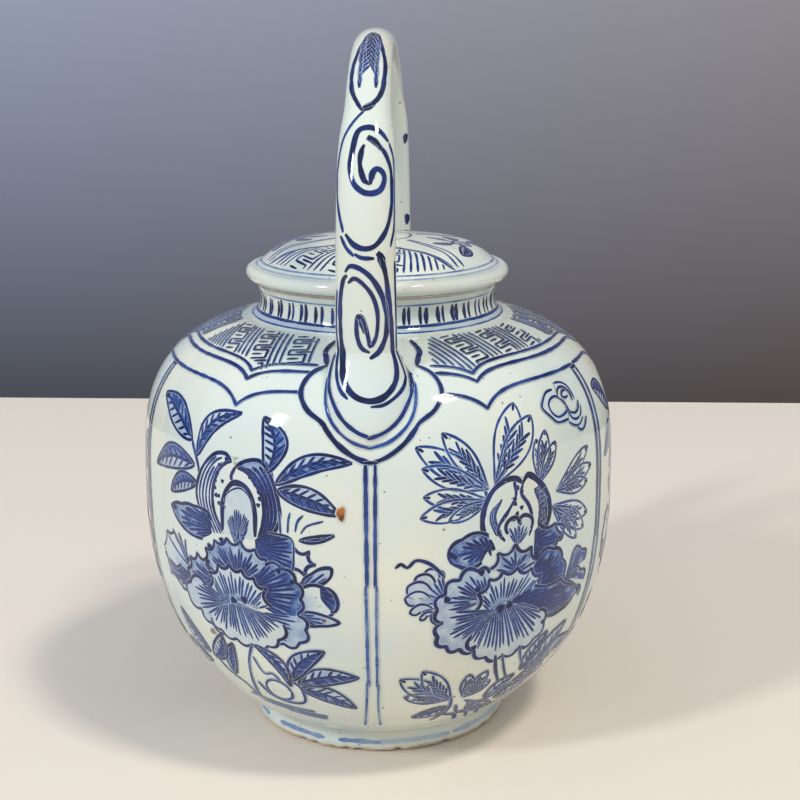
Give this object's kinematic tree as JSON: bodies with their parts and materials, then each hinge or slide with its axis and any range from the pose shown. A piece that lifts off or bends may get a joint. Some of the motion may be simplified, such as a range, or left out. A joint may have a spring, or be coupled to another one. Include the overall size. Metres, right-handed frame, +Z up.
{
  "type": "porcelain teapot",
  "caption": "Six-lobed porcelain pot with a high arched handle, a curved spout and a loose domed lid, painted in underglaze blue.",
  "frame": {"origin": "on the pot's vertical axis, in the plane that the foot ring stands on", "axes": "+Z up along the pot's axis, +Y towards the spout in the plane of the handle, +X to the right of someone who looks along +Y"},
  "size_m": [0.148, 0.1814, 0.217],
  "materials": {
    "body_glaze": "glossy bluish-white glaze painted under the glaze in cobalt blue",
    "handle_glaze": "glossy white glaze painted under the glaze in cobalt blue",
    "lid_glaze": "glossy white glaze painted under the glaze in cobalt blue",
    "foot_biscuit": "bare fired clay, matt and slightly gritty"
  },
  "bodies": {
    "pot": {"lower_body": "body_glaze", "upper_body": "body_glaze", "foot_ring": "foot_biscuit", "neck_collar": "body_glaze", "spout": "body_glaze", "handle_arch": "handle_glaze", "handle_root_front": "handle_glaze", "handle_root_rear": "handle_glaze"},
    "lid": {"lid_cap": "lid_glaze", "lid_locating_ring": "foot_biscuit", "lid_knob": "lid_glaze"}
  },
  "joints": [
    {"name": "lid_lift", "type": "slide", "parent": "pot", "child": "lid", "axis": [0, 0, 1], "range_m": [0, 0.039]}
  ]
}
